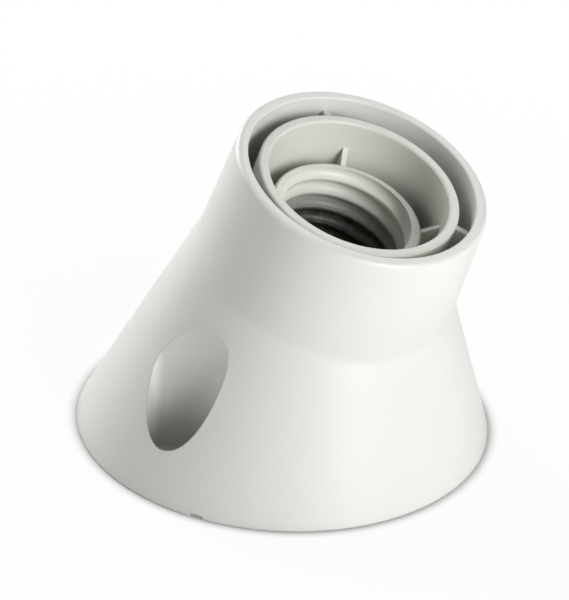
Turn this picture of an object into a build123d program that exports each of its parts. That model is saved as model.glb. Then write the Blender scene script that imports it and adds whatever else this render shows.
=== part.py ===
from build123d import *
from math import cos, radians, sin, tan
import os

os.makedirs("parts", exist_ok=True)

# Angled lamp holder for a wall or ceiling, moulded in white plastic, for a lamp with an E27 screw cap.
# Origin at the centre of the base on the wall plane, +Z away from the wall, lamp axis leaning to +X.
# Sizes are in millimetres and angles in degrees. A depth is measured from the rim along the lamp axis.

# Socket thread
thread_major_radius = 13.35
thread_depth = 1.15
thread_pitch = 25.4 / 7
thread_groove_radius = 1.6
thread_phase = 10.0
thread_turns = 6
thread_foot_height = 5.2

# Lamp insert: threaded tube inside a guard sleeve, joined by a floor and radial ribs
tube_wall = 1.15
tube_lip_depth = 9.6
tube_lip_chamfer = 0.4
tube_length = 24.9
annulus = 3.0
sleeve_wall = 2.0
sleeve_drop = 2.0
sleeve_rounding = 0.5
floor_height = 8.5
floor_thickness = 2.0
tube_rib_angle = 41.0
tube_rib_thickness = 1.0
tube_rib_drop = 0.6
tube_rib_rise = 2.6
key_angle = 24.5
key_thickness = 1.2
key_drop = 0.9
key_clearance = 0.15
ear_thickness = 2.5
ear_radius = 2.9
ear_clearance = 0.3
gusset_thickness = 2.0
boss_radius = 2.7

# Housing: oblique skirt, leaning collar, two screw wells and two posts
base_radius = 40.0
lean_angle = 18.0
rim_offset = 15.3
rim_height = 58.7
collar_length = 23.2
collar_draft = 2.4
collar_gap = 2.58
wall = 2.25
waist_rounding = 2.5
rim_rounding = 1.1
mouth_rounding = 0.35
well_radius = 8.7
well_back_radius = 30.0
well_back_gap = 1.5
well_corner = 1.5
well_edge = 3.8
well_shift = 1.1
well_floor = 4.0
well_wall = 1.8
fixing_hole_radius = 2.25
post_radius = 2.7
post_gap = 0.4
post_length = 8.0
post_rib_thickness = 1.6
notch_angle = -77.0
notch_width = 2.6
notch_height = 0.5

# Contact block, screwed under the tube
contact_angle = 32.0
block_clearance = 0.4
block_thickness = 9.5
block_rounding = 0.6
spigot_height = 1.2
spigot_clearance = 0.2
recess_height = 5.5
core_radius = 3.2
core_length = 14.0

# Contact strips and the rivets that hold them
strip_thickness = 0.5
strip_bend = 0.8
strip_clearance = 0.2
side_strip_width = 4.4
side_strip_rise = 20.0
side_strip_knee = 11.0
side_strip_touch = 16.0
side_strip_reach = 0.2
centre_strip_width = 4.6
centre_strip_rise = 3.4
centre_strip_root = 5.0
centre_strip_crown = 2.5
centre_strip_end = 5.5
rivet_radius = 1.25
rivet_clearance = 0.05
rivet_head_radius = 2.1
rivet_head_height = 0.7

# Rounding of every screw head as a share of its height
head_rounding_share = 0.45

# Terminals: a tapped plate, a square clamp and a screw on each side
plate_offset = 9.6
plate_width = 8.0
plate_thickness = 2.6
plate_margin = 3.2
plate_rounding = 0.8
plate_clearance = 0.2
screw_spacing = 8.4
clamp_size = 7.6
clamp_thickness = 1.0
clamp_clearance = 0.4
clamp_rounding = 0.6
clamp_hole_clearance = 0.15
terminal_screw_radius = 1.75
terminal_screw_length = 6.8
terminal_thread_clearance = 0.05
terminal_head_radius = 3.2
terminal_head_height = 2.4
terminal_slot_width = 0.9
terminal_slot_depth = 1.1
relief_clearance = 0.35

# Self-tapping screws: two hold the insert in the housing and two hold the block on the insert
tapping_radius = 1.2
tapping_clearance = 0.05
tapping_head_radius = 2.4
tapping_head_height = 1.7
tapping_recess_width = 0.6
tapping_recess_depth = 0.9
tapping_recess_length = 2.9
tapping_tip = 1.6
hole_end_room = 0.5
sink_clearance = 0.25
sink_wall = 1.0
block_screw_seat = 5.5
insert_screw_length = 8.4
block_screw_length = 12.0

# Radii that follow from the thread outwards
thread_minor_radius = thread_major_radius - thread_depth
tube_radius = thread_major_radius + tube_wall
sleeve_bore = tube_radius + annulus
sleeve_radius = sleeve_bore + sleeve_wall
rim_radius = sleeve_radius + collar_gap + wall
waist_radius = rim_radius + collar_length * tan(radians(collar_draft))
post_offset = sleeve_radius + post_gap + post_radius
block_radius = post_offset - tapping_head_radius - block_clearance
boss_offset = block_radius - sink_wall - sink_clearance - tapping_head_radius
spigot_bore = thread_minor_radius + thread_depth / 2
side_strip_radius = (thread_minor_radius + tube_radius) / 2
well_inner = waist_radius + well_back_gap
well_outer = base_radius - well_edge
well_centre = well_outer - well_radius
fixing_offset = (well_inner + well_outer) / 2

# Depths that follow along the lamp axis
tube_end = tube_lip_depth + tube_length
insert_floor_depth = tube_end - floor_height
ear_depth = tube_end - ear_thickness
block_floor_depth = tube_end - spigot_height
block_end = tube_end + block_thickness
strip_depth = block_end - recess_height
plate_depth = strip_depth + strip_thickness
clamp_depth = plate_depth + plate_thickness
head_depth = clamp_depth + clamp_thickness
block_screw_depth = block_end - block_screw_seat

# The lamp's own frame: origin at the centre of the rim, +Z outwards, +X on the side it leans to
lean = radians(lean_angle)
lamp_plane = Plane(
    origin=(rim_offset, 0, rim_height),
    x_dir=(cos(lean), 0, -sin(lean)),
    z_dir=(sin(lean), 0, cos(lean)),
)


def at_depth(depth):
    """Plane square to the lamp axis at a depth below the rim."""
    return lamp_plane.offset(-depth)


def disc(radius, top, bottom):
    """Round bar on the lamp axis between two depths."""
    on_top = (Align.CENTER, Align.CENTER, Align.MIN)
    return Pos(0, 0, -bottom) * Cylinder(radius, bottom - top, align=on_top)


def bar(near, far, width, top, bottom):
    """Rectangular bar that runs out along X, between two depths."""
    outwards = (Align.MIN, Align.CENTER, Align.MIN)
    return Pos(near, 0, -bottom) * Box(far - near, width, bottom - top, align=outwards)


def radial_face(points):
    """Flat outline on the XZ plane from points of radius and depth."""
    return Plane.XZ * make_face(Polyline(*[(radius, -depth) for radius, depth in points], close=True))


def radial_web(points, thickness, angle):
    """Thin web on a radial plane, with its outline as points of radius and depth."""
    return Rot(Z=angle) * extrude(radial_face(points), amount=thickness / 2, both=True)


def on_block(part):
    """Turns a part of the contact block into the plane that its contacts lie in."""
    return Rot(Z=contact_angle) * part


def placed(part):
    """Moves a part from the lamp's own frame to its place."""
    return lamp_plane * part


def housing_form(inset):
    """Skirt and collar as one closed form, with its surface moved in by inset."""
    foot = Plane.XY * Circle(base_radius - inset)
    waist = at_depth(collar_length) * Circle(waist_radius - inset)
    rim = at_depth(0) * Circle(rim_radius - inset)
    return loft([foot, waist], ruled=True) + loft([waist, rim], ruled=True)


def circle_edge(part, centre, radius):
    """The edge of a part that is a circle with this centre and radius."""
    circles = part.edges().filter_by(GeomType.CIRCLE)
    return circles.sort_by(lambda edge: (edge.arc_center - centre).length + abs(edge.radius - radius))[0]


def well_plan():
    """Plan of the screw well on the +Y side: round outside, gently curved towards the lamp."""
    back = Pos(0, well_inner + well_back_radius) * Circle(well_back_radius)
    sides = Pos(0, well_centre) * Rectangle(2 * well_radius, base_radius, align=(Align.CENTER, Align.MAX))
    plan = (Pos(0, well_centre) * Circle(well_radius) + sides) & back
    return fillet(plan.vertices(), min(well_corner, (well_outer - well_inner) / 5))


def at_wells(part):
    """Both copies of a part of a screw well, moved away from the side that the lamp leans to."""
    return [Pos(-well_shift, 0, 0) * Rot(Z=turn) * part for turn in (0, 180)]


def post():
    """Post inside the housing that takes an insert screw, with a rib to the skirt."""
    top = ear_depth - post_length
    pin = Pos(post_offset, 0, 0) * disc(post_radius, top, ear_depth)
    return pin + bar(post_offset, base_radius, post_rib_thickness, top, ear_depth - ear_thickness / 2)


def post_hole():
    """Pilot hole for an insert screw, with room below it for the screw's head and a driver."""
    end = tube_end - insert_screw_length - hole_end_room
    hole = disc(tapping_radius + tapping_clearance, end, tube_end)
    hole += disc(tapping_head_radius + sink_clearance, tube_end, tube_end + base_radius)
    return Pos(post_offset, 0, 0) * hole


def housing():
    """The one-piece outer moulding, open at the back."""
    outer = housing_form(0)
    outer = fillet(circle_edge(outer, at_depth(collar_length).origin, waist_radius), waist_rounding)
    shell = outer - housing_form(wall)
    inner_limit = housing_form(wall / 2)
    well_skin = extrude(offset(well_plan(), amount=well_wall), amount=rim_height)
    for skin in at_wells(well_skin):
        shell += skin & inner_limit
    fixing_hole = Pos(0, fixing_offset, 0) * Cylinder(fixing_hole_radius, 4 * well_floor)
    for turn in (0, 180):
        shell += placed(Rot(Z=turn) * post()) & inner_limit
        shell -= placed(Rot(Z=turn) * post_hole())
        shell -= Rot(Z=turn) * fixing_hole
    for pocket in at_wells(Pos(0, 0, well_floor) * extrude(well_plan(), amount=rim_height)):
        shell -= pocket
    notch = Pos(base_radius, 0, 0) * Box(4 * wall, notch_width, 2 * notch_height)
    shell -= Rot(Z=notch_angle) * notch
    shell = fillet(circle_edge(shell, lamp_plane.origin, rim_radius), rim_rounding)
    return fillet(circle_edge(shell, lamp_plane.origin, rim_radius - wall), mouth_rounding)


def insert_profile():
    """Half section of the threaded tube, the floor and the guard sleeve."""
    floor_top = insert_floor_depth - floor_thickness
    return [
        (thread_minor_radius, tube_end),
        (thread_minor_radius, tube_lip_depth + tube_lip_chamfer),
        (thread_minor_radius + tube_lip_chamfer, tube_lip_depth),
        (tube_radius - tube_lip_chamfer, tube_lip_depth),
        (tube_radius, tube_lip_depth + tube_lip_chamfer),
        (tube_radius, floor_top),
        (sleeve_bore, floor_top),
        (sleeve_bore, sleeve_drop),
        (sleeve_radius, sleeve_drop),
        (sleeve_radius, insert_floor_depth),
        (tube_radius, insert_floor_depth),
        (tube_radius, tube_end),
    ]


def thread_groove():
    """Helical groove of the socket thread, run out through the lip so that the lamp can start."""
    length = thread_turns * thread_pitch
    bottom = tube_lip_depth + length - thread_pitch / 2
    path = Pos(0, 0, -bottom) * Helix(thread_pitch, length, thread_major_radius - thread_groove_radius)
    section = Plane(origin=path @ 0, z_dir=path % 0) * Circle(thread_groove_radius)
    return Rot(Z=thread_phase) * sweep(section, path=path, is_frenet=True)


def tube_ribs():
    """Four ribs that join tube and sleeve, with tops that slope up to the sleeve."""
    inner = tube_radius - tube_wall / 4
    outer = sleeve_bore + sleeve_wall / 4
    low = tube_lip_depth + tube_rib_drop
    bottom = insert_floor_depth - floor_thickness / 2
    points = [(inner, low), (outer, low - tube_rib_rise), (outer, bottom), (inner, bottom)]
    return [radial_web(points, tube_rib_thickness, tube_rib_angle + turn) for turn in (0, 90, 180, 270)]


def centring_keys():
    """Three keys on the sleeve that centre it in the collar, following the collar's draft."""
    root = sleeve_radius - sleeve_wall / 4
    mouth = rim_radius - wall - key_clearance
    top = sleeve_drop + key_drop
    corner = top + key_drop / 2
    bottom = insert_floor_depth - floor_thickness
    slope = tan(radians(collar_draft))
    points = [(root, top), (mouth + corner * slope, corner), (mouth + bottom * slope, bottom), (root, bottom)]
    return [radial_web(points, key_thickness, key_angle + turn) for turn in (0, 120, 240)]


def ears():
    """Two ears that seat on the housing's posts, each with a gusset up to the insert's floor."""
    root = tube_radius - tube_wall / 2
    ear = bar(root, post_offset, 2 * ear_radius, ear_depth, tube_end)
    ear += Pos(post_offset, 0, 0) * disc(ear_radius, ear_depth, tube_end)
    ear += bar(root, sleeve_radius - post_gap, gusset_thickness, insert_floor_depth, ear_depth)
    ear -= Pos(post_offset, 0, 0) * disc(tapping_radius + 2 * tapping_clearance, ear_depth, tube_end)
    room = lamp_plane.location.inverse() * housing_form(wall + ear_clearance)
    return [(Rot(Z=turn) * ear) & room for turn in (0, 180)]


def on_boss(part):
    """A part at each of the two bosses that the block screws bite into."""
    return [on_block(Rot(Z=turn) * Pos(0, boss_offset, 0) * part) for turn in (0, 180)]


def side_contact_window():
    """Slot down the tube's wall for the side contact to stand and flex in."""
    width = side_strip_width + 2 * strip_clearance
    top = tube_end - side_strip_rise - strip_bend
    return on_block(bar(thread_minor_radius / 2, tube_radius + tube_wall / 2, width, top, tube_end))


def lamp_insert():
    """One-piece moulding that the lamp screws into."""
    body = revolve(radial_face(insert_profile()), axis=Axis.Z)
    body = fillet(body.edges().filter_by(GeomType.CIRCLE).group_by(Axis.Z)[-1], sleeve_rounding)
    body += tube_ribs() + centring_keys() + ears()
    body += on_boss(disc(boss_radius, insert_floor_depth - floor_thickness / 2, tube_end))
    hole_end = block_screw_depth - block_screw_length - hole_end_room
    body -= on_boss(disc(tapping_radius + tapping_clearance, hole_end, tube_end))
    body -= disc(spigot_bore, tube_end - thread_foot_height, tube_end)
    body -= thread_groove()
    body -= side_contact_window()
    return placed(body)


def terminal_recess():
    """Recess for a terminal plate and its strip, with a channel out to the edge for the wire."""
    near = plate_offset - plate_width / 2 - plate_clearance
    far = plate_offset + plate_width / 2 + plate_clearance
    low = -screw_spacing - clamp_size / 2 - plate_clearance
    high = plate_margin + plate_clearance
    recess = Pos(0, (low + high) / 2, 0) * bar(near, far, high - low, plate_depth, block_end)
    channel_width = clamp_size + 2 * clamp_clearance
    channel = Pos(0, -screw_spacing, 0) * bar(near, base_radius, channel_width, clamp_depth, block_end)
    relief_top = head_depth - terminal_screw_length - relief_clearance
    relief = disc(terminal_screw_radius + relief_clearance, relief_top, block_end)
    return recess + channel + Pos(plate_offset, -screw_spacing, 0) * relief


def side_strip_slot():
    """Room for the side contact: a groove for its tail and a slot up into the tube's wall."""
    width = side_strip_width + 2 * strip_clearance
    near = plate_offset - plate_width / 2 - plate_clearance
    far = side_strip_radius + strip_thickness / 2 + strip_clearance
    slot = bar(side_strip_radius - strip_bend, far, width, block_floor_depth, block_end)
    return slot + bar(near, far, width, strip_depth, block_end)


def centre_strip_slot():
    """Room for the centre contact: a groove for its tail and a slot up to the tube's floor."""
    width = centre_strip_width + 2 * strip_clearance
    near = centre_strip_root - strip_thickness / 2 - strip_clearance
    far = plate_offset + plate_width / 2 + plate_clearance
    slot = bar(near, centre_strip_root + strip_bend, width, block_floor_depth, block_end)
    return slot + bar(near, far, width, strip_depth, block_end)


def contact_block():
    """Round moulding that closes the tube and carries the contacts and terminals."""
    body = disc(block_radius, tube_end, block_end)
    body = fillet(body.edges().filter_by(GeomType.CIRCLE).sort_by(Axis.Z)[0], block_rounding)
    body += disc(spigot_bore - spigot_clearance, block_floor_depth, tube_end)
    rivet_hole = Pos(plate_offset, 0, 0) * disc(rivet_radius + rivet_clearance, block_floor_depth, block_end)
    screw_hole = disc(tapping_radius + 2 * tapping_clearance, tube_end, block_end)
    screw_hole += disc(tapping_head_radius + sink_clearance, block_screw_depth, block_end)
    cuts = terminal_recess() + rivet_hole + Pos(0, boss_offset, 0) * screw_hole
    for turn in (0, 180):
        body -= Rot(Z=turn) * cuts
    body -= side_strip_slot()
    body -= Rot(Z=180) * centre_strip_slot()
    body -= bar(-core_radius, core_radius, core_length, strip_depth, block_end)
    return placed(on_block(body))


def bent_strip(points, width):
    """Flat strip bent along points of radius and depth, with a hole for its rivet."""
    path = FilletPolyline(*[(radius, 0, -depth) for radius, depth in points], radius=strip_bend)
    section = Plane(origin=path @ 0, x_dir=(0, 1, 0), z_dir=path % 0) * Rectangle(width, strip_thickness)
    strip = sweep(section, path=path)
    hole = disc(rivet_radius + rivet_clearance, strip_depth, plate_depth)
    return strip - Pos(plate_offset, 0, 0) * hole


def side_contact():
    """Strip that stands in the tube's wall and presses on the shell of the lamp cap."""
    tail = (strip_depth + plate_depth) / 2
    touch = thread_minor_radius - side_strip_reach + strip_thickness / 2
    points = [
        (plate_offset - plate_width / 2 + strip_thickness, tail),
        (side_strip_radius, tail),
        (side_strip_radius, tube_end - side_strip_knee),
        (touch, tube_end - side_strip_touch),
        ((touch + side_strip_radius) / 2, tube_end - side_strip_rise),
    ]
    return placed(on_block(bent_strip(points, side_strip_width)))


def centre_contact():
    """Strip that rises from the tube's floor and presses on the tip of the lamp cap."""
    tail = (strip_depth + plate_depth) / 2
    crown = block_floor_depth - centre_strip_rise
    points = [
        (plate_offset + plate_width / 2 - strip_thickness, tail),
        (centre_strip_root, tail),
        (centre_strip_root, block_floor_depth - 2 * strip_thickness),
        (-centre_strip_crown, crown),
        (-centre_strip_end, crown + centre_strip_rise / 2),
    ]
    return placed(on_block(Rot(Z=180) * bent_strip(points, centre_strip_width)))


def rivet():
    """Rivet through the block, a strip and a terminal plate, with a head at each end."""
    body = disc(rivet_radius, block_floor_depth, clamp_depth)
    body += disc(rivet_head_radius, block_floor_depth - rivet_head_height, block_floor_depth)
    body += disc(rivet_head_radius, clamp_depth, clamp_depth + rivet_head_height)
    ends = body.edges().filter_by(GeomType.CIRCLE).group_by(Axis.Z)
    body = fillet(ends[0] + ends[-1], rivet_head_height / 2)
    return Pos(plate_offset, 0, 0) * body


def terminal_plate():
    """Brass plate tapped for the terminal screw and drilled for the rivet."""
    low = -screw_spacing - clamp_size / 2
    half = plate_width / 2
    length = plate_margin - low
    plate = Pos(0, low + length / 2, 0)
    plate *= bar(plate_offset - half, plate_offset + half, length, plate_depth, clamp_depth)
    plate = fillet(plate.edges().filter_by(Axis.Z), plate_rounding)
    plate -= Pos(plate_offset, 0, 0) * disc(rivet_radius + rivet_clearance, plate_depth, clamp_depth)
    tapped = disc(terminal_screw_radius + terminal_thread_clearance, plate_depth, clamp_depth)
    return plate - Pos(plate_offset, -screw_spacing, 0) * tapped


def terminal_clamp():
    """Square clamp under the screw head that presses the wire on the plate."""
    half = clamp_size / 2
    clamp = bar(-half, half, clamp_size, clamp_depth, head_depth)
    clamp = fillet(clamp.edges().filter_by(Axis.Z), clamp_rounding)
    clamp -= disc(terminal_screw_radius + clamp_hole_clearance, clamp_depth, head_depth)
    return Pos(plate_offset, -screw_spacing, 0) * clamp


def screw_body(radius, length, head_radius, head_height, seat):
    """Shank above a seat and a pan head below it."""
    head = disc(head_radius, seat, seat + head_height)
    lowest_edge = head.edges().filter_by(GeomType.CIRCLE).sort_by(Axis.Z)[0]
    head = fillet(lowest_edge, head_height * head_rounding_share)
    return head + disc(radius, seat - length, seat)


def terminal_screw():
    """Slotted machine screw of the terminal."""
    end = head_depth + terminal_head_height
    screw = screw_body(
        terminal_screw_radius, terminal_screw_length, terminal_head_radius, terminal_head_height, head_depth
    )
    reach = 2 * terminal_head_radius
    screw -= bar(-reach, reach, terminal_slot_width, end - terminal_slot_depth, end)
    return Pos(plate_offset, -screw_spacing, 0) * screw


def tapping_screw(length, seat):
    """Self-tapping screw with a pointed end and a cross recess."""
    screw = screw_body(tapping_radius, length - tapping_tip, tapping_head_radius, tapping_head_height, seat)
    on_shank = (Align.CENTER, Align.CENTER, Align.MIN)
    tip = Cone(tapping_radius, tapping_radius / 4, tapping_tip, align=on_shank)
    screw += Pos(0, 0, length - tapping_tip - seat) * tip
    end = seat + tapping_head_height
    half = tapping_recess_length / 2
    for turn in (0, 90):
        screw -= Rot(Z=turn) * bar(-half, half, tapping_recess_width, end - tapping_recess_depth, end)
    return screw


def terminal_nodes(name, turn):
    """Rivet, plate, clamp and screw of one terminal."""
    pieces = {
        "rivet": rivet(),
        "terminal": terminal_plate(),
        "clamp": terminal_clamp(),
        "screw": terminal_screw(),
    }
    return {f"{name}_{piece}": placed(on_block(Rot(Z=turn) * part)) for piece, part in pieces.items()}


def fastener_nodes():
    """The four self-tapping screws."""
    insert_screw = Pos(post_offset, 0, 0) * tapping_screw(insert_screw_length, tube_end)
    block_screw = tapping_screw(block_screw_length, block_screw_depth)
    screws = {f"insert_screw_{number}": Rot(Z=180 * (number - 1)) * insert_screw for number in (1, 2)}
    screws |= {f"block_screw_{number}": part for number, part in enumerate(on_boss(block_screw), start=1)}
    return {name: placed(part) for name, part in screws.items()}


nodes = {
    "housing": housing(),
    "lamp_insert": lamp_insert(),
    "contact_block": contact_block(),
    "side_contact": side_contact(),
    "centre_contact": centre_contact(),
}
nodes |= terminal_nodes("neutral", 0) | terminal_nodes("line", 180) | fastener_nodes()
for node, part in nodes.items():
    export_step(part, f"parts/{node}.step")
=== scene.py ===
"""Dresses the angled lamp holder: moulded plastic, spring strips, brass and threaded screws."""

from math import ceil, cos, pi, radians, sin, tau

import bmesh
import bpy
from bpy.props import FloatProperty, FloatVectorProperty, PointerProperty
from mathutils import Matrix, Vector


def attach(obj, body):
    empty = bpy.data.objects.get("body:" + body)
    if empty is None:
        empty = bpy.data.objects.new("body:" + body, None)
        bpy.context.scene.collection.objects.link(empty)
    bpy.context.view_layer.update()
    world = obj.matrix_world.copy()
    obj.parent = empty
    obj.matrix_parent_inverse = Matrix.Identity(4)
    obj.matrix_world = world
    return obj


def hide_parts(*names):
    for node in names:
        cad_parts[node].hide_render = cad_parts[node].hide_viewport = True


bl_info = {
    "name": "Angled Lamp Holder",
    "version": (1, 0, 0),
    "blender": (4, 5, 0),
    "location": "View3D > Sidebar > Lamp Holder",
    "description": "Finishes for the mouldings and metal parts of an angled lamp holder",
    "category": "Object",
}

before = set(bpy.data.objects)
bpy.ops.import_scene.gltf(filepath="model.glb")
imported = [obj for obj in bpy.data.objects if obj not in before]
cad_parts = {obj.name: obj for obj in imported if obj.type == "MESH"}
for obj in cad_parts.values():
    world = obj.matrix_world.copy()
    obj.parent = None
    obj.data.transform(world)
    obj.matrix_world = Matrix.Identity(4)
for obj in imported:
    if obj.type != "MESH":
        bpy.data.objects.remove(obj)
MM = 0.001

# The lamp's axis leans from the base, and depths are counted along it from the rim
LEAN = radians(18)
RIM_CENTRE = Vector((15.3, 0, 58.7)) * MM
AXIS = Vector((sin(LEAN), 0, cos(LEAN)))
ACROSS = Vector((cos(LEAN), 0, -sin(LEAN)))
SIDEWAYS = Vector((0, 1, 0))
TUBE_RADIUS = 13.7 * MM
TUBE_END = 34.4 * MM
BLOCK_TURN = radians(32)

# Screws: places across the lamp's axis, and depths of the seats of their heads
TERMINAL_SCREW_PLACE = (9.6 * MM, -8.4 * MM)
TERMINAL_SCREW_SEAT = 42.6 * MM
BLOCK_SCREW_OFFSET = 16.15 * MM
BLOCK_SCREW_SEAT = 38.5 * MM
BLOCK_SCREW_SHANK = 12.0 * MM
INSERT_SCREW_OFFSET = 22.6 * MM
INSERT_SCREW_SEAT = 34.5 * MM
INSERT_SCREW_SHANK = 8.4 * MM
HEAD_ROUNDING = 0.45
POINT_SHARE = 0.14
FLANK_RATE, ROOT_SHARE = 1.5, 0.12
SHARP_ANGLE = radians(40)

# Plastic: texture sizes against the ripples and grain, tones against the shade, and shares
CLOUD_SCALE, SPECKLE_SCALE = 1.7, 4
CLOUD_DARK, CLOUD_LIGHT = 0.975, 1.02
EDGE_LIGHT, EDGE_SHARE = 1.06, 0.35
# Painted shade in recesses: where the occlusion mask starts to darken, how fast, and the random
# spread of its share
RECESS_START, RECESS_RATE = 0.62, 6
PAINTED_SHADE_RANGE = (0.85, 1.15)
SATIN_BELOW, SATIN_ABOVE = 0.05, 0.06
EDGE_POLISH, RECESS_DULLING = 0.06, 0.12
PLASTIC_IOR = 1.49

# Rolled strip: lines stretched along the strip, tones against the shade, and shares
LINE_STRETCH = (1, 1, 0.06)
LINE_DARK, LINE_SHARE = 0.80, 0.5
STAIN_SHARE, STAIN_DULLING = 0.6, 0.08
STRIP_EDGE_LIGHT, STRIP_EDGE_SHARE = 1.12, 0.5
STRIP_ROUGHNESS = (0.2, 0.36)

# Plated metal: clouds against the size of the pits, tones against the shade, and shares
METAL_CLOUD_SCALE = 6
DULL_START, DULL_RATE, DULL_SHARE = 0.25, 1.6, 0.7
METAL_EDGE_LIGHT, METAL_EDGE_SHARE = 1.15, 0.6
METAL_EDGE_POLISH = 0.08
METAL_ROUGHNESS = (0.24, 0.46)

# Masks: rise for each metre at the tube's wall, and for each step of the edge's dot product
TUBE_MASK_RATE = 2500
EDGE_MASK_RATE = 6

# Camera: sensor in millimetres, and shifts in shares of the photo's height
SENSOR_WIDTH = 36
CAMERA_SHIFT = (-5.1 / 600, -16.3 / 600)

# Lamps: azimuth and elevation in degrees, and radius in metres
LAMPS = {
    "right": (76, 20, 0.30),
    "left": (-100, 25, 0.42),
    "back": (180, 50, 0.30),
    "under": (0, -90, 0.30),
}
LAMP_DISTANCE = 1.0
LAMP_TARGET = Vector((0, 0, 0.03))

# Floor: sizes in metres, and rates for each metre
FLOOR_RADIUS = 3
FLOOR_DROP = 0.05 * MM
FLOOR_INNER_RADIUS, FLOOR_INNER_RATE = 38.5 * MM, 1000
FLOOR_FADE_START, FLOOR_FADE_RATE = 0.05, 9
# Painted contact shadow on the floor: its rise and its dark colour
CONTACT_SHADOW_RATE = 3
CONTACT_SHADOW_COLOUR = (0.12, 0.12, 0.11)
FIBRE_SIZE, FIBRE_DARK = 3 * MM, 0.99
PAPER_ROUGHNESS = 0.9


# Property helpers


def colour(name, description, default):
    """A colour property."""
    return FloatVectorProperty(
        name=name, description=description, default=default, subtype="COLOR", size=3, min=0, max=1
    )


def length(name, description, millimetres):
    """A length property with its default given in millimetres."""
    default = millimetres * MM
    return FloatProperty(
        name=name, description=description, default=default, min=0, unit="LENGTH", precision=5
    )


def angle(name, description, degrees):
    """An angle property with its default given in degrees."""
    default = radians(degrees)
    return FloatProperty(name=name, description=description, default=default, unit="ROTATION")


def factor(name, description, default):
    """A share between 0 and 1."""
    return FloatProperty(
        name=name, description=description, default=default, min=0, max=1, subtype="FACTOR"
    )


def brightness(name, description, default):
    """The radiance of a lamp."""
    return FloatProperty(name=name, description=description, default=default, min=0)


class MouldingSettings(bpy.types.PropertyGroup):
    """Colours, texture and painted recess shade of the plastic mouldings."""

    housing: colour("Housing", "Colour of the outer moulding", (0.76, 0.78, 0.735))
    insert: colour("Insert", "Colour of the socket and its guard sleeve", (0.74, 0.745, 0.69))
    block: colour("Contact block", "Colour of the moulding with the contacts", (0.60, 0.585, 0.53))
    # Painted shade: a near-black colour laid into recesses by an occlusion mask, not real dust
    painted_shade: colour("Dust", "Colour that gathers in recesses", (0.03, 0.026, 0.022))
    painted_shade_share: factor("Dust share", "Share of the dust colour in the deepest recess", 0.96)
    painted_shade_outside_tube: factor("Grime", "Share of the dust in recesses outside the tube", 0.15)
    painted_shade_reach: length("Dust reach", "Size of the recesses that hold dust", 28)
    # Painted shade deep in the lamp's tube: where it starts below the rim and how fast it turns
    # dark
    painted_tube_shade_depth: length("Gloom depth", "Depth from the rim at which the tube starts to darken", 14)
    painted_tube_shade_reach: length("Gloom reach", "Distance over which the tube turns dark", 7)
    roughness: factor("Roughness", "Roughness of the satin mouldings", 0.34)
    block_roughness: factor("Block roughness", "Roughness of the matt contact block", 0.52)
    ripple_size: length("Ripple size", "Width of the slow ripples left by moulding", 14)
    ripple_depth: length("Ripple depth", "Depth of the slow ripples left by moulding", 0.02)
    grain_size: length("Grain size", "Width of the fine grain of the mould", 0.45)
    grain_depth: length("Grain depth", "Depth of the fine grain of the mould", 0.003)
    edge_radius: length("Edge radius", "Rounding seen on moulded edges", 0.3)


class MetalSettings(bpy.types.PropertyGroup):
    """Colours and wear of the metal parts."""

    contact: colour("Contact strip", "Colour of the spring strips", (0.86, 0.70, 0.47))
    brass: colour("Brass", "Colour of terminals and rivets", (0.84, 0.66, 0.36))
    tarnish: colour("Tarnish", "Colour of handled brass", (0.42, 0.27, 0.13))
    steel: colour("Steel", "Colour of zinc-plated steel", (0.70, 0.71, 0.70))
    steel_dark: colour("Dull steel", "Colour where the plating has dulled", (0.40, 0.40, 0.39))
    line_size: length("Line size", "Width of the rolled lines on the strips", 0.35)
    line_depth: length("Line depth", "Depth of the rolled lines on the strips", 0.006)
    stain_size: length("Stain size", "Width of the stains on the strips", 2.4)
    pit_depth: length("Pit depth", "Depth of the pits in pressed metal", 0.01)
    edge_radius: length("Edge radius", "Rounding seen on metal edges", 0.12)


class ThreadSettings(bpy.types.PropertyGroup):
    """Sizes of the screw threads."""

    terminal_pitch: length("Terminal pitch", "Thread pitch of the terminal screws", 0.6)
    terminal_depth: length("Terminal depth", "Thread depth of the terminal screws", 0.34)
    tapping_pitch: length("Tapping pitch", "Thread pitch of the tapping screws", 1.1)
    tapping_depth: length("Tapping depth", "Thread depth of the tapping screws", 0.36)


class StageSettings(bpy.types.PropertyGroup):
    """Camera, lamps and floor."""

    camera_azimuth: angle("Camera azimuth", "Direction of the camera round the holder", 35.16)
    camera_elevation: angle("Camera elevation", "Height of the camera above the horizon", 29.56)
    camera_roll: angle("Camera roll", "Turn of the camera about its line of sight", 3.12)
    camera_distance: length("Camera distance", "Distance from the camera to the holder", 680)
    aim_height: length("Aim height", "Height of the point that the camera looks at", 30)
    focal_length: FloatProperty(
        name="Focal length", description="Lens in millimetres", default=214.2, min=1
    )
    right_radiance: brightness("Right", "Brightness of the right lamp", 10.0)
    left_radiance: brightness("Left", "Brightness of the left lamp", 6.1)
    back_radiance: brightness("Back", "Brightness of the high back lamp", 1.9)
    under_radiance: brightness("Under", "Brightness of the lamp below the floor", 5.0)
    ambient: factor("Ambient", "Brightness of the surroundings on the holder", 0.09)
    sheen: factor("Sheen", "Brightness of the surroundings in reflections", 0.4)
    floor: colour("Floor", "Colour of the floor", (0.88, 0.88, 0.87))
    floor_white: factor("Floor white", "Share of white that the camera sees in the floor", 0.93)
    # Painted shadow on the floor along the holder's base: its width and strength
    contact_shadow_reach: length("Contact reach", "Width of the dark line at the base edge", 2.5)
    contact_shadow_share: factor("Contact share", "Strength of the dark line at the base edge", 0.8)


# Shader building


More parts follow.
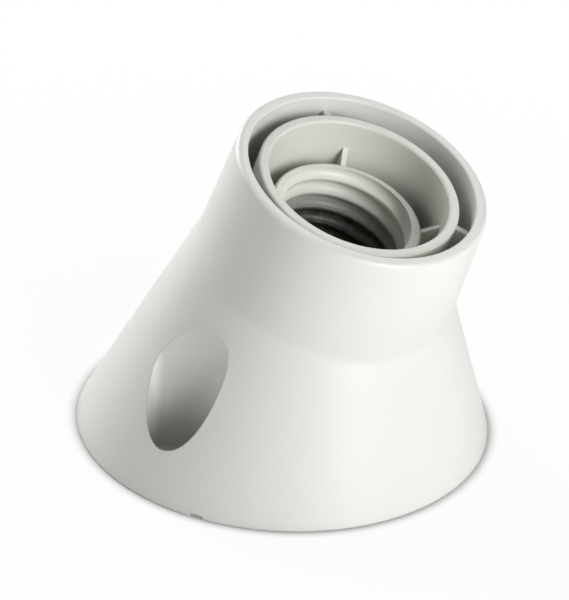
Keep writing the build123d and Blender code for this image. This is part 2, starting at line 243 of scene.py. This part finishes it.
class Value:
    """A number socket that adds Math nodes when it is used in a Python expression."""

    def __init__(self, nodes, socket):
        self.nodes = nodes
        self.socket = socket

    def combined(self, operation, *operands):
        """Result of a Math node on these operands."""
        values = {i: getattr(operand, "socket", operand) for i, operand in enumerate(operands)}
        return self.nodes.value("ShaderNodeMath", 0, {"operation": operation}, values)

    def __add__(self, other):
        return self.combined("ADD", self, other)

    def __radd__(self, other):
        return self.combined("ADD", other, self)

    def __sub__(self, other):
        return self.combined("SUBTRACT", self, other)

    def __rsub__(self, other):
        return self.combined("SUBTRACT", other, self)

    def __mul__(self, other):
        return self.combined("MULTIPLY", self, other)

    def __rmul__(self, other):
        return self.combined("MULTIPLY", other, self)

    def limited(self):
        """The value kept between 0 and 1."""
        return self.nodes.value("ShaderNodeClamp", 0, None, {"Value": self.socket})

    def ramp(self, start, rate):
        """0 up to the start, then a rise to 1 at this rate."""
        return ((self - start) * rate).limited()


class NodeTree:
    """The nodes of a material or a world."""

    def __init__(self, owner):
        owner.use_nodes = True
        self.tree = owner.node_tree
        self.tree.nodes.clear()

    def node(self, kind, settings=None, inputs=None):
        """Adds a node, sets it up, then fills or links its sockets."""
        node = self.tree.nodes.new(kind)
        for name, value in (settings or {}).items():
            setattr(node, name, value)
        for name, value in (inputs or {}).items():
            value = getattr(value, "socket", value)
            if isinstance(value, bpy.types.NodeSocket):
                self.tree.links.new(value, node.inputs[name])
            else:
                node.inputs[name].default_value = value
        return node

    def value(self, kind, output, settings=None, inputs=None):
        """One number output of a new node."""
        return Value(self, self.node(kind, settings, inputs).outputs[output])


class Surface(NodeTree):
    """A material with a principled shader."""

    def __init__(self, name):
        self.material = bpy.data.materials.new(name)
        super().__init__(self.material)
        self.shader = self.node("ShaderNodeBsdfPrincipled")
        shaded = {"Surface": self.shader.outputs[0]}
        self.output = self.node("ShaderNodeOutputMaterial", None, shaded)
        self.place = self.node("ShaderNodeTexCoord").outputs["Object"]

    def noise(self, size, detail=3, roughness=0.5, stretch=None):
        """Noise between 0 and 1 with features of this size."""
        place = self.place
        if stretch:
            mapping = self.node("ShaderNodeMapping", None, {"Vector": place, "Scale": stretch})
            place = mapping.outputs[0]
        values = {"Vector": place, "Scale": 1 / size, "Detail": detail, "Roughness": roughness}
        return self.value("ShaderNodeTexNoise", "Fac", None, values)

    def mixed(self, share, first, second):
        """Two colours mixed by a share."""
        first, second = (
            shade if isinstance(shade, bpy.types.NodeSocket) else (*shade, 1)
            for shade in (first, second)
        )
        settings = {"data_type": "RGBA", "clamp_factor": True}
        return self.node("ShaderNodeMix", settings, {0: share, 6: first, 7: second}).outputs[2]

    def vectors(self, operation, output, *operands):
        """One output of a Vector Math node on these vectors."""
        inputs = dict(enumerate(operands))
        return self.node("ShaderNodeVectorMath", {"operation": operation}, inputs).outputs[output]

    def rounded_normal(self, radius):
        """Normal that rounds the sharp edges."""
        return self.node("ShaderNodeBevel", {"samples": 6}, {"Radius": radius}).outputs[0]

    def edge_mask(self, rounded):
        """1 on sharp edges and 0 on open faces."""
        flat = self.node("ShaderNodeNewGeometry").outputs["Normal"]
        dot = Value(self, self.vectors("DOT_PRODUCT", "Value", rounded, flat))
        return ((1 - dot) * EDGE_MASK_RATE).limited()

    def recess_mask(self, reach):
        """1 deep in recesses and 0 on open faces."""
        distance = {"Distance": reach}
        occlusion = self.value("ShaderNodeAmbientOcclusion", "AO", {"samples": 8}, distance)
        return (1 - occlusion).limited()

    def tube_mask(self, depth, reach):
        """0 outside the lamp's tube, rising to 1 inside it over a reach below a depth."""
        offset = self.vectors("SUBTRACT", "Vector", self.place, RIM_CENTRE)
        product = self.vectors("CROSS_PRODUCT", "Vector", offset, AXIS)
        across = Value(self, self.vectors("LENGTH", "Value", product))
        along = Value(self, self.vectors("DOT_PRODUCT", "Value", offset, -AXIS))
        within = ((TUBE_RADIUS - across) * TUBE_MASK_RATE).limited()
        above = ((TUBE_END - along) * TUBE_MASK_RATE).limited()
        return within * above * along.ramp(depth, 1 / reach)

    def bumped(self, height, depth, normal):
        """Normal with a height between 0 and 1 laid over it at this depth."""
        values = {"Height": height, "Distance": depth, "Strength": 1.0, "Normal": normal}
        return self.node("ShaderNodeBump", None, values).outputs[0]

    def finish(self, links, constants):
        """Feeds the shader's sockets."""
        for name, value in links.items():
            self.tree.links.new(getattr(value, "socket", value), self.shader.inputs[name])
        for name, value in constants.items():
            self.shader.inputs[name].default_value = value
        return self.material


def tint(shade, amount):
    """A colour made lighter or darker by a factor."""
    return tuple(min(1, channel * amount) for channel in shade)


def between(low, high, share):
    """Two numbers mixed by a share."""
    return low + (high - low) * share


def moulded_plastic(name, shade, roughness, settings, in_tube=False):
    """Satin thermoplastic with slow ripples, a fine grain, painted shade in recesses and tube,
    softened edges.
    """
    surface = Surface(name)
    rounded = surface.rounded_normal(settings.edge_radius)
    edge = surface.edge_mask(rounded)
    cloud = surface.noise(settings.ripple_size * CLOUD_SCALE, detail=2)
    speckle = surface.noise(settings.grain_size * SPECKLE_SCALE, detail=4, roughness=0.7)
    recess = surface.recess_mask(settings.painted_shade_reach)
    base = surface.mixed(cloud, tint(shade, CLOUD_DARK), tint(shade, CLOUD_LIGHT))
    base = surface.mixed(edge * EDGE_SHARE, base, tint(shade, EDGE_LIGHT))
    # Painted shade: recesses, and with in_tube the tube below a depth, are darkened towards a
    # near-black colour
    deep = recess.ramp(RECESS_START, RECESS_RATE) * settings.painted_shade_outside_tube
    if in_tube:
        painted_tube_shade = surface.tube_mask(settings.painted_tube_shade_depth, settings.painted_tube_shade_reach)
        deep = (deep + painted_tube_shade).limited()
    # Share of the painted shade colour laid over the base colour
    painted_shade_amount = (deep * settings.painted_shade_share * between(*PAINTED_SHADE_RANGE, speckle)).limited()
    base = surface.mixed(painted_shade_amount, base, tuple(settings.painted_shade))
    ripple = surface.noise(settings.ripple_size, detail=1)
    grain = surface.noise(settings.grain_size, detail=2)
    normal = surface.bumped(ripple, settings.ripple_depth, rounded)
    normal = surface.bumped(grain, settings.grain_depth, normal)
    rough = between(roughness - SATIN_BELOW, roughness + SATIN_ABOVE, speckle)
    rough = rough - edge * EDGE_POLISH + recess * RECESS_DULLING
    links = {"Base Color": base, "Roughness": rough.limited(), "Normal": normal}
    return surface.finish(links, {"IOR": PLASTIC_IOR})


def rolled_strip(name, shade, settings):
    """Spring strip with fine lines of rolling, stains and slightly brighter edges."""
    surface = Surface(name)
    rounded = surface.rounded_normal(settings.edge_radius)
    edge = surface.edge_mask(rounded)
    lines = surface.noise(settings.line_size, detail=3, stretch=LINE_STRETCH)
    stain = surface.noise(settings.stain_size, detail=3)
    base = surface.mixed(lines * LINE_SHARE, shade, tint(shade, LINE_DARK))
    base = surface.mixed(stain * stain * STAIN_SHARE, base, tuple(settings.tarnish))
    base = surface.mixed(edge * STRIP_EDGE_SHARE, base, tint(shade, STRIP_EDGE_LIGHT))
    normal = surface.bumped(lines, settings.line_depth, rounded)
    rough = between(*STRIP_ROUGHNESS, lines) + stain * STAIN_DULLING
    links = {"Base Color": base, "Roughness": rough.limited(), "Normal": normal}
    return surface.finish(links, {"Metallic": 1.0})


def plated_metal(name, shade, dull, grain_size, settings):
    """Plated or pressed metal with cloudy dulling, pits and bright worn edges."""
    surface = Surface(name)
    rounded = surface.rounded_normal(settings.edge_radius)
    edge = surface.edge_mask(rounded)
    cloud = surface.noise(grain_size * METAL_CLOUD_SCALE, detail=4, roughness=0.6)
    pits = surface.noise(grain_size, detail=3)
    base = surface.mixed(cloud.ramp(DULL_START, DULL_RATE) * DULL_SHARE, shade, dull)
    base = surface.mixed(edge * METAL_EDGE_SHARE, base, tint(shade, METAL_EDGE_LIGHT))
    normal = surface.bumped(pits, settings.pit_depth, rounded)
    rough = between(*METAL_ROUGHNESS, cloud) - edge * METAL_EDGE_POLISH
    links = {"Base Color": base, "Roughness": rough.limited(), "Normal": normal}
    return surface.finish(links, {"Metallic": 1.0})


# Mesh building


def dressed(names, material):
    """Gives the CAD nodes of these names one material."""
    for name in names:
        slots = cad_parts[name].data.materials
        slots.clear()
        slots.append(material)


def lamp_place(x, y, depth):
    """Frame of a fastener: its seat at a place across the lamp axis, with +Z towards its tip."""
    origin = RIM_CENTRE + ACROSS * x + SIDEWAYS * y - AXIS * depth
    turn = Matrix((ACROSS, SIDEWAYS, AXIS)).transposed().to_4x4()
    return Matrix.Translation(origin) @ turn


def on_block(x, y):
    """A place on the contact block, turned into the plane of its contacts."""
    cosine, sine = cos(BLOCK_TURN), sin(BLOCK_TURN)
    return x * cosine - y * sine, x * sine + y * cosine


def thread_height(phase):
    """Height of a thread between 0 at its flat root and 1 at its crest, by share of its pitch."""
    distance = abs((phase % 1.0) - 0.5) * 2
    return min(1.0, max(0.0, (1 - distance) * FLANK_RATE - ROOT_SHARE))


def threaded_shank(mesh, radius, shank, pitch, depth, tip, segments=40, rows_per_pitch=10):
    """Adds a threaded shank along +Z from its seat, tapering to a point over its tip length."""
    rows = ceil(shank / pitch * rows_per_pitch)
    rings = []
    for row in range(rows + 1):
        height = shank * row / rows
        taper = min(1.0, max(POINT_SHARE, (shank - height) / tip)) if tip else 1.0
        fade = min(1.0, height / pitch) * (1.0 if tip else min(1.0, (shank - height) / pitch * 2))
        ring = []
        for step in range(segments):
            turn = tau * step / segments
            crest = thread_height(height / pitch - step / segments) * fade
            reach = (radius - depth + depth * crest) * taper
            ring.append(mesh.verts.new((reach * cos(turn), reach * sin(turn), height)))
        rings.append(ring)
    for lower, upper in zip(rings, rings[1:]):
        for step in range(segments):
            after = (step + 1) % segments
            mesh.faces.new((lower[step], lower[after], upper[after], upper[step]))
    mesh.faces.new(rings[-1])
    return rings[0]


def pan_head(mesh, start, radius, height, rounding, segments=40, steps=6):
    """Adds a pan head below the seat, joined to the shank's first ring."""
    profile = [(radius, 0.0), (radius, -(height - rounding))]
    for step in range(1, steps + 1):
        turn = pi / 2 * step / steps
        reach = radius - rounding * (1 - cos(turn))
        profile.append((reach, -(height - rounding) - rounding * sin(turn)))
    rings = [start]
    for reach, z in profile:
        turns = [tau * step / segments for step in range(segments)]
        ring = [mesh.verts.new((reach * cos(turn), reach * sin(turn), z)) for turn in turns]
        rings.append(ring)
    for lower, upper in zip(rings, rings[1:]):
        for step in range(segments):
            after = (step + 1) % segments
            mesh.faces.new((lower[after], lower[step], upper[step], upper[after]))
    mesh.faces.new(list(reversed(rings[-1])))


def recess_cutter(name, bars, top):
    """Object of crossed bars that cuts a slot or a cross into a head."""
    mesh = bmesh.new()
    for reach, width, depth, turn in bars:
        place = Matrix.Rotation(turn, 4, "Z") @ Matrix.Translation((0, 0, top))
        size = Matrix.Diagonal((2 * reach, width, 2 * depth, 1))
        bmesh.ops.create_cube(mesh, size=1, matrix=place @ size)
    data = bpy.data.meshes.new(name)
    mesh.to_mesh(data)
    mesh.free()
    cutter = bpy.data.objects.new(name, data)
    bpy.context.scene.collection.objects.link(cutter)
    return cutter


def made_screw(name, sizes, bars, place, material, body):
    """Builds a threaded screw with its recess and lets it stand for the plain CAD screw."""
    mesh = bmesh.new()
    start = threaded_shank(
        mesh, sizes["radius"], sizes["shank"], sizes["pitch"], sizes["depth"], sizes["tip"]
    )
    rounding = sizes["head_height"] * HEAD_ROUNDING
    pan_head(mesh, start, sizes["head_radius"], sizes["head_height"], rounding)
    bmesh.ops.recalc_face_normals(mesh, faces=mesh.faces)
    data = bpy.data.meshes.new(name)
    mesh.to_mesh(data)
    mesh.free()
    screw = bpy.data.objects.new(name, data)
    bpy.context.scene.collection.objects.link(screw)
    cutter = recess_cutter(name + "_cutter", bars, -sizes["head_height"])
    cut = screw.modifiers.new("recess", "BOOLEAN")
    cut.operation, cut.solver, cut.object = "DIFFERENCE", "EXACT", cutter
    cut.use_self = True
    graph = bpy.context.evaluated_depsgraph_get()
    shaped = bpy.data.meshes.new_from_object(screw.evaluated_get(graph))
    screw.modifiers.clear()
    screw.data = shaped
    bpy.data.objects.remove(cutter)
    shaped.transform(place)
    shaped.materials.clear()
    shaped.materials.append(material)
    for polygon in shaped.polygons:
        polygon.use_smooth = True
    shaped.set_sharp_from_angle(angle=SHARP_ANGLE)
    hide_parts(name.removesuffix("_threaded"))
    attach(screw, body)


# Stage building


def direction(azimuth, elevation):
    """Direction from the holder to a camera or lamp."""
    return Vector((sin(azimuth) * cos(elevation), -cos(azimuth) * cos(elevation), sin(elevation)))


def fitted_camera(settings):
    """Adds the camera at its place, rolled about its line of sight."""
    azimuth, roll = settings.camera_azimuth, settings.camera_roll
    back = direction(azimuth, settings.camera_elevation)
    level = Vector((cos(azimuth), sin(azimuth), 0))
    upright = back.cross(level)
    right = level * cos(roll) + upright * sin(roll)
    up = upright * cos(roll) - level * sin(roll)
    data = bpy.data.cameras.new("camera")
    data.lens = settings.focal_length
    data.sensor_width = SENSOR_WIDTH
    data.shift_x, data.shift_y = CAMERA_SHIFT
    camera = bpy.data.objects.new("camera", data)
    place = Vector((0, 0, settings.aim_height)) + back * settings.camera_distance
    turn = Matrix((right, up, back)).transposed().to_4x4()
    camera.matrix_world = Matrix.Translation(place) @ turn
    bpy.context.scene.collection.objects.link(camera)
    bpy.context.scene.camera = camera


def round_lamp(name, azimuth, elevation, radius, radiance):
    """Adds a round lamp that faces the holder."""
    light = bpy.data.lights.new(name, "AREA")
    light.shape, light.size = "DISK", 2 * radius
    light.energy = radiance * pi * (pi * radius**2)
    lamp = bpy.data.objects.new(name, light)
    towards = direction(radians(azimuth), radians(elevation))
    turn = (-towards).to_track_quat("-Z", "Y").to_matrix().to_4x4()
    lamp.matrix_world = Matrix.Translation(LAMP_TARGET + towards * LAMP_DISTANCE) @ turn
    bpy.context.scene.collection.objects.link(lamp)


def floor_material(settings):
    """Paper near white to the camera, with a painted shadow at the base, clear from below and to
    lamps' shadows.
    """
    surface = Surface("floor_paper")
    seen = surface.value("ShaderNodeLightPath", "Is Camera Ray")
    shadow = surface.value("ShaderNodeLightPath", "Is Shadow Ray")
    below = surface.value("ShaderNodeNewGeometry", "Backfacing")
    fibre = surface.noise(FIBRE_SIZE, detail=3)
    # Painted shadow: an occlusion mask darkens the floor along the holder's base and keeps the
    # white out there
    contact = (surface.recess_mask(settings.contact_shadow_reach) * CONTACT_SHADOW_RATE).limited()
    contact = contact * settings.contact_shadow_share
    base = surface.mixed(fibre, tint(settings.floor, FIBRE_DARK), tuple(settings.floor))
    base = surface.mixed(contact, base, CONTACT_SHADOW_COLOUR)
    constants = {"Roughness": PAPER_ROUGHNESS, "Specular IOR Level": 0.0}
    surface.finish({"Base Color": base}, constants)
    away = Value(surface, surface.vectors("LENGTH", "Value", surface.place))
    outside = away.ramp(FLOOR_INNER_RADIUS, FLOOR_INNER_RATE)
    spread = away.ramp(FLOOR_FADE_START, FLOOR_FADE_RATE)
    white = surface.node("ShaderNodeEmission", None, {"Color": (1, 1, 1, 1), "Strength": 1.0})
    white_share = between(settings.floor_white, 1, spread)
    share = seen * outside * white_share * (1 - contact).limited()
    mixes = {0: share, 1: surface.shader.outputs[0], 2: white.outputs[0]}
    paper = surface.node("ShaderNodeMixShader", None, mixes)
    clear = surface.node("ShaderNodeBsdfTransparent")
    mixes = {0: (below + shadow).limited(), 1: paper.outputs[0], 2: clear.outputs[0]}
    sided = surface.node("ShaderNodeMixShader", None, mixes)
    surface.tree.links.new(sided.outputs[0], surface.output.inputs["Surface"])
    return surface.material


def pale_floor(settings):
    """Adds the round floor just below the base."""
    mesh = bmesh.new()
    bmesh.ops.create_circle(mesh, cap_ends=True, radius=FLOOR_RADIUS, segments=96)
    data = bpy.data.meshes.new("floor")
    mesh.to_mesh(data)
    mesh.free()
    data.materials.append(floor_material(settings))
    floor = bpy.data.objects.new("floor", data)
    floor.location.z = -FLOOR_DROP
    bpy.context.scene.collection.objects.link(floor)


def pale_world(settings):
    """Makes a world that is white to the camera, and dim as light and in reflections."""
    world = bpy.data.worlds.new("studio")
    nodes = NodeTree(world)
    path = nodes.node("ShaderNodeLightPath").outputs
    seen = Value(nodes, path["Is Camera Ray"])
    mirrored = Value(nodes, path["Is Glossy Ray"])
    ambient = settings.ambient
    level = ambient + seen * (1 - ambient) + mirrored * (settings.sheen - ambient)
    sky = nodes.node("ShaderNodeBackground", None, {"Color": (1, 1, 1, 1), "Strength": level})
    nodes.node("ShaderNodeOutputWorld", None, {"Surface": sky.outputs[0]})
    bpy.context.scene.world = world


# Operators


class LAMP_OT_housing(bpy.types.Operator):
    """Finish the outer moulding"""

    bl_idname = "lamp_holder.housing"
    bl_label = "Housing"

    def execute(self, context):
        settings = context.scene.lamp_mouldings
        shade = tuple(settings.housing)
        material = moulded_plastic("housing_plastic", shade, settings.roughness, settings)
        dressed(["housing"], material)
        return {"FINISHED"}


class LAMP_OT_insert(bpy.types.Operator):
    """Finish the socket with its guard sleeve"""

    bl_idname = "lamp_holder.insert"
    bl_label = "Lamp insert"

    def execute(self, context):
        settings = context.scene.lamp_mouldings
        shade = tuple(settings.insert)
        rough = settings.roughness
        # in_tube adds painted shade deep in the lamp's tube
        material = moulded_plastic("insert_plastic", shade, rough, settings, in_tube=True)
        dressed(["lamp_insert"], material)
        return {"FINISHED"}


class LAMP_OT_block(bpy.types.Operator):
    """Finish the moulding that carries the contacts"""

    bl_idname = "lamp_holder.block"
    bl_label = "Contact block"

    def execute(self, context):
        settings = context.scene.lamp_mouldings
        shade = tuple(settings.block)
        rough = settings.block_roughness
        # in_tube adds painted shade deep in the lamp's tube
        material = moulded_plastic("block_plastic", shade, rough, settings, in_tube=True)
        dressed(["contact_block"], material)
        return {"FINISHED"}


class LAMP_OT_contacts(bpy.types.Operator):
    """Finish the two spring strips"""

    bl_idname = "lamp_holder.contacts"
    bl_label = "Contacts"

    def execute(self, context):
        settings = context.scene.lamp_metals
        material = rolled_strip("contact_strip", tuple(settings.contact), settings)
        dressed(["side_contact", "centre_contact"], material)
        return {"FINISHED"}


class LAMP_OT_terminals(bpy.types.Operator):
    """Finish the terminal plates, rivets and clamps"""

    bl_idname = "lamp_holder.terminals"
    bl_label = "Terminals"

    def execute(self, context):
        settings = context.scene.lamp_metals
        shade, tarnish = tuple(settings.brass), tuple(settings.tarnish)
        steel, dull = tuple(settings.steel), tuple(settings.steel_dark)
        brass = plated_metal("terminal_brass", shade, tarnish, 0.5 * MM, settings)
        rivets = plated_metal("rivet_metal", tint(shade, 0.95), tarnish, 0.3 * MM, settings)
        clamps = plated_metal("clamp_steel", steel, dull, 0.4 * MM, settings)
        dressed(["neutral_terminal", "line_terminal"], brass)
        dressed(["neutral_rivet", "line_rivet"], rivets)
        dressed(["neutral_clamp", "line_clamp"], clamps)
        return {"FINISHED"}


class LAMP_OT_terminal_screws(bpy.types.Operator):
    """Build the slotted terminal screws with their threads"""

    bl_idname = "lamp_holder.terminal_screws"
    bl_label = "Terminal screws"

    def execute(self, context):
        metals = context.scene.lamp_metals
        threads = context.scene.lamp_threads
        steel, dull = tuple(metals.steel), tuple(metals.steel_dark)
        material = plated_metal("terminal_screw_steel", steel, dull, 0.35 * MM, metals)
        sizes = {
            "radius": 1.75 * MM,
            "shank": 6.8 * MM,
            "pitch": threads.terminal_pitch,
            "depth": threads.terminal_depth,
            "tip": 0,
            "head_radius": 3.2 * MM,
            "head_height": 2.4 * MM,
        }
        reach, width, depth = 6.4 * MM, 0.9 * MM, 1.1 * MM
        bars = [(reach, width, depth, BLOCK_TURN)]
        for name, side in (("neutral_screw", 1), ("line_screw", -1)):
            x, y = on_block(*(side * offset for offset in TERMINAL_SCREW_PLACE))
            place = lamp_place(x, y, TERMINAL_SCREW_SEAT)
            made_screw(name + "_threaded", sizes, bars, place, material, name)
        return {"FINISHED"}


class LAMP_OT_tapping_screws(bpy.types.Operator):
    """Build the pointed tapping screws with their threads"""

    bl_idname = "lamp_holder.tapping_screws"
    bl_label = "Tapping screws"

    def execute(self, context):
        metals = context.scene.lamp_metals
        threads = context.scene.lamp_threads
        steel, dull = tuple(metals.steel), tuple(metals.steel_dark)
        material = plated_metal("tapping_screw_steel", steel, dull, 0.25 * MM, metals)
        sizes = {
            "radius": 1.2 * MM,
            "pitch": threads.tapping_pitch,
            "depth": threads.tapping_depth,
            "tip": 1.6 * MM,
            "head_radius": 2.4 * MM,
            "head_height": 1.7 * MM,
        }
        block = [on_block(0, side * BLOCK_SCREW_OFFSET) for side in (1, -1)]
        insert = [(side * INSERT_SCREW_OFFSET, 0) for side in (1, -1)]
        kinds = (
            ("block_screw", BLOCK_SCREW_SHANK, BLOCK_SCREW_SEAT, BLOCK_TURN, block),
            ("insert_screw", INSERT_SCREW_SHANK, INSERT_SCREW_SEAT, 0, insert),
        )
        reach, width, depth = 1.45 * MM, 0.6 * MM, 0.9 * MM
        for kind, shank, seat, first_turn, places in kinds:
            for number, (x, y) in enumerate(places, start=1):
                turn = first_turn + pi * (number - 1)
                bars = [(reach, width, depth, turn), (reach, width, depth, turn + pi / 2)]
                place = lamp_place(x, y, seat)
                name = f"{kind}_{number}_threaded"
                screw = sizes | {"shank": shank}
                made_screw(name, screw, bars, place, material, "lamp_holder")
        return {"FINISHED"}


class LAMP_OT_stage(bpy.types.Operator):
    """Add the camera, lamps and floor"""

    bl_idname = "lamp_holder.stage"
    bl_label = "Stage"

    def execute(self, context):
        settings = context.scene.lamp_stage
        fitted_camera(settings)
        for name, (azimuth, elevation, radius) in LAMPS.items():
            radiance = getattr(settings, f"{name}_radiance")
            round_lamp(f"{name}_lamp", azimuth, elevation, radius, radiance)
        pale_floor(settings)
        pale_world(settings)
        context.scene.view_settings.view_transform = "Standard"
        return {"FINISHED"}


OPERATORS = (
    LAMP_OT_housing,
    LAMP_OT_insert,
    LAMP_OT_block,
    LAMP_OT_contacts,
    LAMP_OT_terminals,
    LAMP_OT_terminal_screws,
    LAMP_OT_tapping_screws,
    LAMP_OT_stage,
)


class LAMP_PT_sidebar(bpy.types.Panel):
    """Sidebar panel with every step of the lamp holder."""

    bl_label = "Lamp Holder"
    bl_idname = "LAMP_PT_sidebar"
    bl_space_type = "VIEW_3D"
    bl_region_type = "UI"
    bl_category = "Lamp Holder"

    def draw(self, context):
        for group in (
            context.scene.lamp_mouldings,
            context.scene.lamp_metals,
            context.scene.lamp_threads,
            context.scene.lamp_stage,
        ):
            box = self.layout.box()
            for name in group.bl_rna.properties.keys():
                if name not in ("rna_type", "name"):
                    box.prop(group, name)
        for operator in OPERATORS:
            self.layout.operator(operator.bl_idname)


GROUPS = {
    "lamp_mouldings": MouldingSettings,
    "lamp_metals": MetalSettings,
    "lamp_threads": ThreadSettings,
    "lamp_stage": StageSettings,
}


def register():
    for group in GROUPS.values():
        bpy.utils.register_class(group)
    for name, group in GROUPS.items():
        setattr(bpy.types.Scene, name, PointerProperty(type=group))
    for kind in (*OPERATORS, LAMP_PT_sidebar):
        bpy.utils.register_class(kind)


def unregister():
    for kind in (LAMP_PT_sidebar, *reversed(OPERATORS)):
        bpy.utils.unregister_class(kind)
    for name, group in GROUPS.items():
        delattr(bpy.types.Scene, name)
        bpy.utils.unregister_class(group)


def main():
    """Runs every step in order."""
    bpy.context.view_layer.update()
    register()
    bpy.ops.lamp_holder.housing()
    bpy.ops.lamp_holder.insert()
    bpy.ops.lamp_holder.block()
    bpy.ops.lamp_holder.contacts()
    bpy.ops.lamp_holder.terminals()
    bpy.ops.lamp_holder.terminal_screws()
    bpy.ops.lamp_holder.tapping_screws()
    bpy.ops.lamp_holder.stage()
    bpy.context.view_layer.update()


if __name__ == "__main__":
    main()
